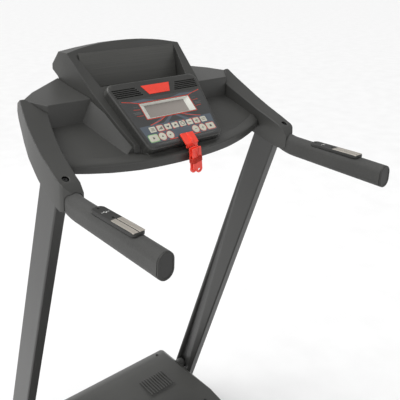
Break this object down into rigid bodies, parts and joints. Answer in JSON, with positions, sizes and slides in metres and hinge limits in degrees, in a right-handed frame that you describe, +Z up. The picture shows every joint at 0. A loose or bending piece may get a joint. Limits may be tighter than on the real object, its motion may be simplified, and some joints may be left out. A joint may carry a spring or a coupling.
{
  "type": "treadmill",
  "caption": "Folding home treadmill with leaning uprights, foam grips with pulse sensors, a sloping console with trays and tablet rest, and a running deck that folds up.",
  "frame": {"origin": "on the floor under the middle of the machine", "axes": "+X to the user's right, +Y the way the user faces, +Z up"},
  "size_m": [0.698, 1.5, 1.336],
  "materials": {
    "frame_paint": "satin charcoal powder coat",
    "console_plastic": "finely grained moulded plastic",
    "black_plastic": "moulded plastic",
    "hood_plastic": "moulded plastic",
    "module_plastic": "moulded plastic",
    "brushed_panel": "brushed film",
    "keypad_film": "printed membrane film",
    "emblem_red": "gloss",
    "lcd_frame": "satin",
    "lcd_glass": "smooth",
    "circuit": "solder mask",
    "speaker_black": "paper cone",
    "key_red": "smooth",
    "cord_red": "braided",
    "grip_foam": "closed-cell foam",
    "contact_steel": "satin",
    "zinc_steel": "zinc plated",
    "black_screw": "black oxide",
    "roller_steel": "turned steel",
    "belt_rubber": "diamond-textured belt",
    "ribbed_belt": "ribbed rubber",
    "deck_board": "waxed fibreboard",
    "foot_rail": "ribbed strip",
    "black_rubber": "moulded rubber",
    "wheel_plastic": "moulded wheel",
    "motor_paint": "enamel",
    "bracket_steel": "pressed steel",
    "strut_black": "enamel",
    "strut_chrome": "polished",
    "rocker_red": "gloss",
    "inlet_black": "moulded"
  },
  "bodies": {
    "frame": {"base_side_rails": "frame_paint", "base_cross_tubes": "frame_paint", "base_end_caps": "black_plastic", "base_pads": "black_rubber", "wheel_axles": "zinc_steel", "uprights": "frame_paint", "pivot_bolts": "black_screw", "console_arms": "console_plastic", "arm_screws": "black_screw", "console_tray": "console_plastic", "console_hood": "hood_plastic", "hood_back_cover": "black_plastic", "tablet_panel": "brushed_panel", "console_bottom_cover": "black_plastic", "display_housing": "module_plastic", "keypad_overlay": "keypad_film", "emblem_plate": "emblem_red", "lcd_bezel": "lcd_frame", "lcd_screen": "lcd_glass", "display_board": "circuit", "speakers": "speaker_black", "key_socket": "black_plastic", "handle_tubes": "frame_paint", "grip_foams": "grip_foam", "grip_end_caps": "black_plastic", "pulse_pods": "black_plastic", "pulse_plates": "contact_steel", "pod_screws": "black_screw"},
    "wheel_left": {"transport_wheel_left": "wheel_plastic"},
    "wheel_right": {"transport_wheel_right": "wheel_plastic"},
    "safety_key": {"safety_key": "key_red", "key_clip": "key_red", "key_lanyard": "cord_red", "key_lanyard_winding": "cord_red"},
    "deck": {"deck_side_tubes": "frame_paint", "deck_cross_tubes": "frame_paint", "deck_cushions": "black_rubber", "deck_board": "deck_board", "running_belt": "belt_rubber", "roller_axles": "zinc_steel", "drive_belt": "ribbed_belt", "foot_rails": "foot_rail", "rear_caps": "black_plastic", "rear_feet": "black_rubber", "motor_hood": "console_plastic", "hood_screws": "black_screw", "belly_pan": "black_plastic", "motor_body": "motor_paint", "motor_mount": "bracket_steel", "motor_controller": "circuit", "power_inlet": "inlet_black", "switch_bezel": "inlet_black", "breaker_body": "inlet_black"},
    "front_roller": {"front_roller": "roller_steel"},
    "rear_roller": {"rear_roller": "roller_steel"},
    "motor_rotor": {"motor_rotor": "roller_steel"},
    "power_switch": {"switch_rocker": "rocker_red"},
    "reset_button": {"breaker_button": "black_plastic"},
    "strut_tube": {"strut_cylinder": "strut_black"},
    "strut_rod": {"strut_rod": "strut_chrome"}
  },
  "joints": [
    {"name": "deck_fold", "type": "hinge", "parent": "frame", "child": "deck", "pos_m": [0, 0.59, 0.17], "axis": [-1, 0, 0], "range_deg": [0, 65]},
    {"name": "strut_swing", "type": "hinge", "parent": "frame", "child": "strut_tube", "pos_m": [0, 0.53, 0.042], "axis": [-1, 0, 0], "range_deg": [0, 60]},
    {"name": "strut_extend", "type": "slide", "parent": "strut_tube", "child": "strut_rod", "axis": [0, -0.9918, 0.1275], "range_m": [0, 0.15]},
    {"name": "front_roller_spin", "type": "hinge", "parent": "deck", "child": "front_roller", "pos_m": [0, 0.42, 0.131], "axis": [1, 0, 0], "continuous": true},
    {"name": "rear_roller_spin", "type": "hinge", "parent": "deck", "child": "rear_roller", "pos_m": [0, -0.705, 0.131], "axis": [1, 0, 0], "continuous": true},
    {"name": "motor_spin", "type": "hinge", "parent": "deck", "child": "motor_rotor", "pos_m": [0, 0.54, 0.14], "axis": [1, 0, 0], "continuous": true},
    {"name": "wheel_left_spin", "type": "hinge", "parent": "frame", "child": "wheel_left", "pos_m": [-0.299, 0.722, 0.027], "axis": [1, 0, 0], "continuous": true},
    {"name": "wheel_right_spin", "type": "hinge", "parent": "frame", "child": "wheel_right", "pos_m": [0.299, 0.722, 0.027], "axis": [1, 0, 0], "continuous": true},
    {"name": "key_pull", "type": "slide", "parent": "frame", "child": "safety_key", "axis": [0, -0.6678, 0.7443], "range_m": [0, 0.035]},
    {"name": "switch_tip", "type": "hinge", "parent": "deck", "child": "power_switch", "pos_m": [-0.15, 0.681, 0.12], "axis": [1, 0, 0], "range_deg": [0, 16]},
    {"name": "reset_press", "type": "slide", "parent": "deck", "child": "reset_button", "axis": [0, -1, 0], "range_m": [0, 0.002], "stiffness_N_per_m": 300}
  ],
  "couplings": [
    {"joint": "strut_swing", "follows": "deck_fold", "ratio": 0.92099},
    {"joint": "strut_extend", "follows": "deck_fold", "m_per_rad": 0.13104},
    {"joint": "rear_roller_spin", "follows": "front_roller_spin", "ratio": 1},
    {"joint": "motor_spin", "follows": "front_roller_spin", "ratio": 2.4286}
  ]
}
